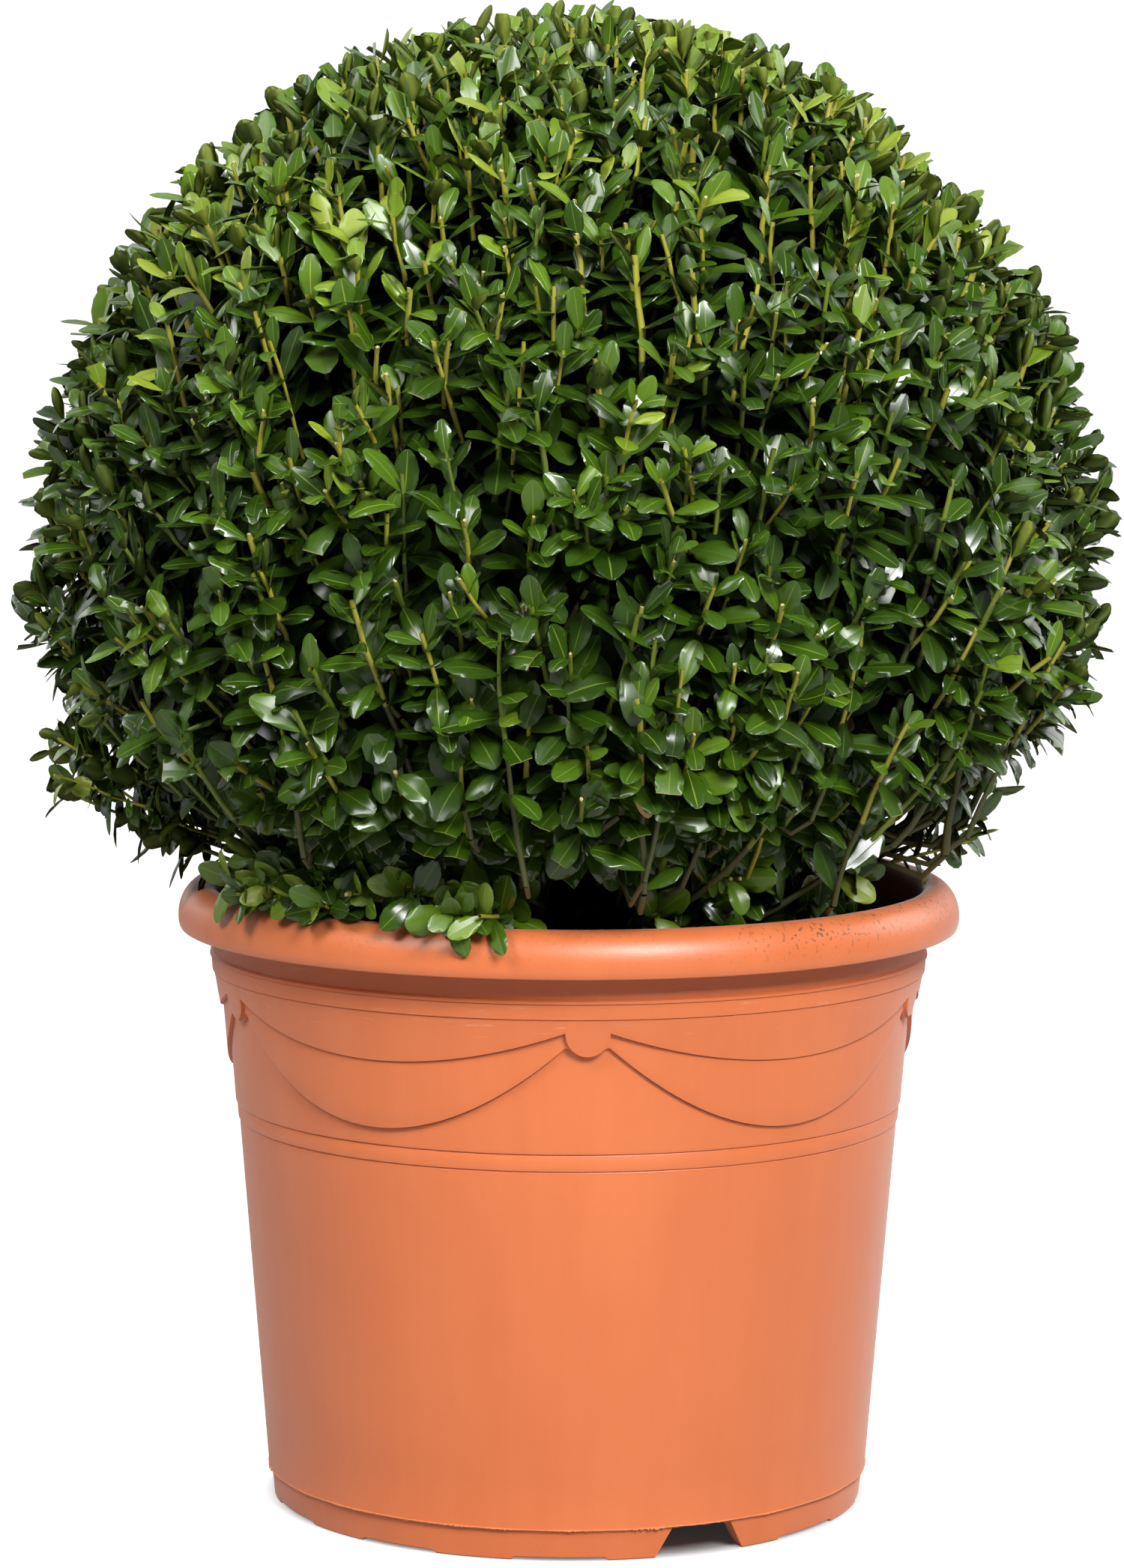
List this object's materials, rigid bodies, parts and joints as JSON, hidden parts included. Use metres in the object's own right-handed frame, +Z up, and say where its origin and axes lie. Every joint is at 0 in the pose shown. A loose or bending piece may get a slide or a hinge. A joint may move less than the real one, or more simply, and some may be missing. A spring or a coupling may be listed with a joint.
{
  "type": "potted box topiary ball",
  "caption": "Box shrub clipped to a ball, on short stems, growing in a round terracotta-coloured plastic nursery pot with a rolled rim.",
  "frame": {"origin": "on the ground under the middle of the pot", "axes": "+Z up, the front of the plant faces -Y"},
  "size_m": [0.554, 0.554, 0.762],
  "materials": {
    "pot_plastic": "satin moulded plastic, terracotta orange",
    "potting_soil": "dark crumbly potting soil",
    "bark": "fine ridged brown bark",
    "foliage": "glossy dark green small leaves"
  },
  "bodies": {
    "root": {"pot": "pot_plastic", "soil": "potting_soil", "main_stem": "bark", "bough_1": "bark", "bough_2": "bark", "bough_3": "bark", "bough_4": "bark", "bough_5": "bark", "bough_6": "bark", "bough_7": "bark", "bough_8": "bark", "foliage_ball": "foliage", "front_left_skirt": "foliage", "front_right_skirt": "foliage", "back_skirt": "foliage", "left_spray": "foliage", "right_spray": "foliage"}
  },
  "joints": []
}
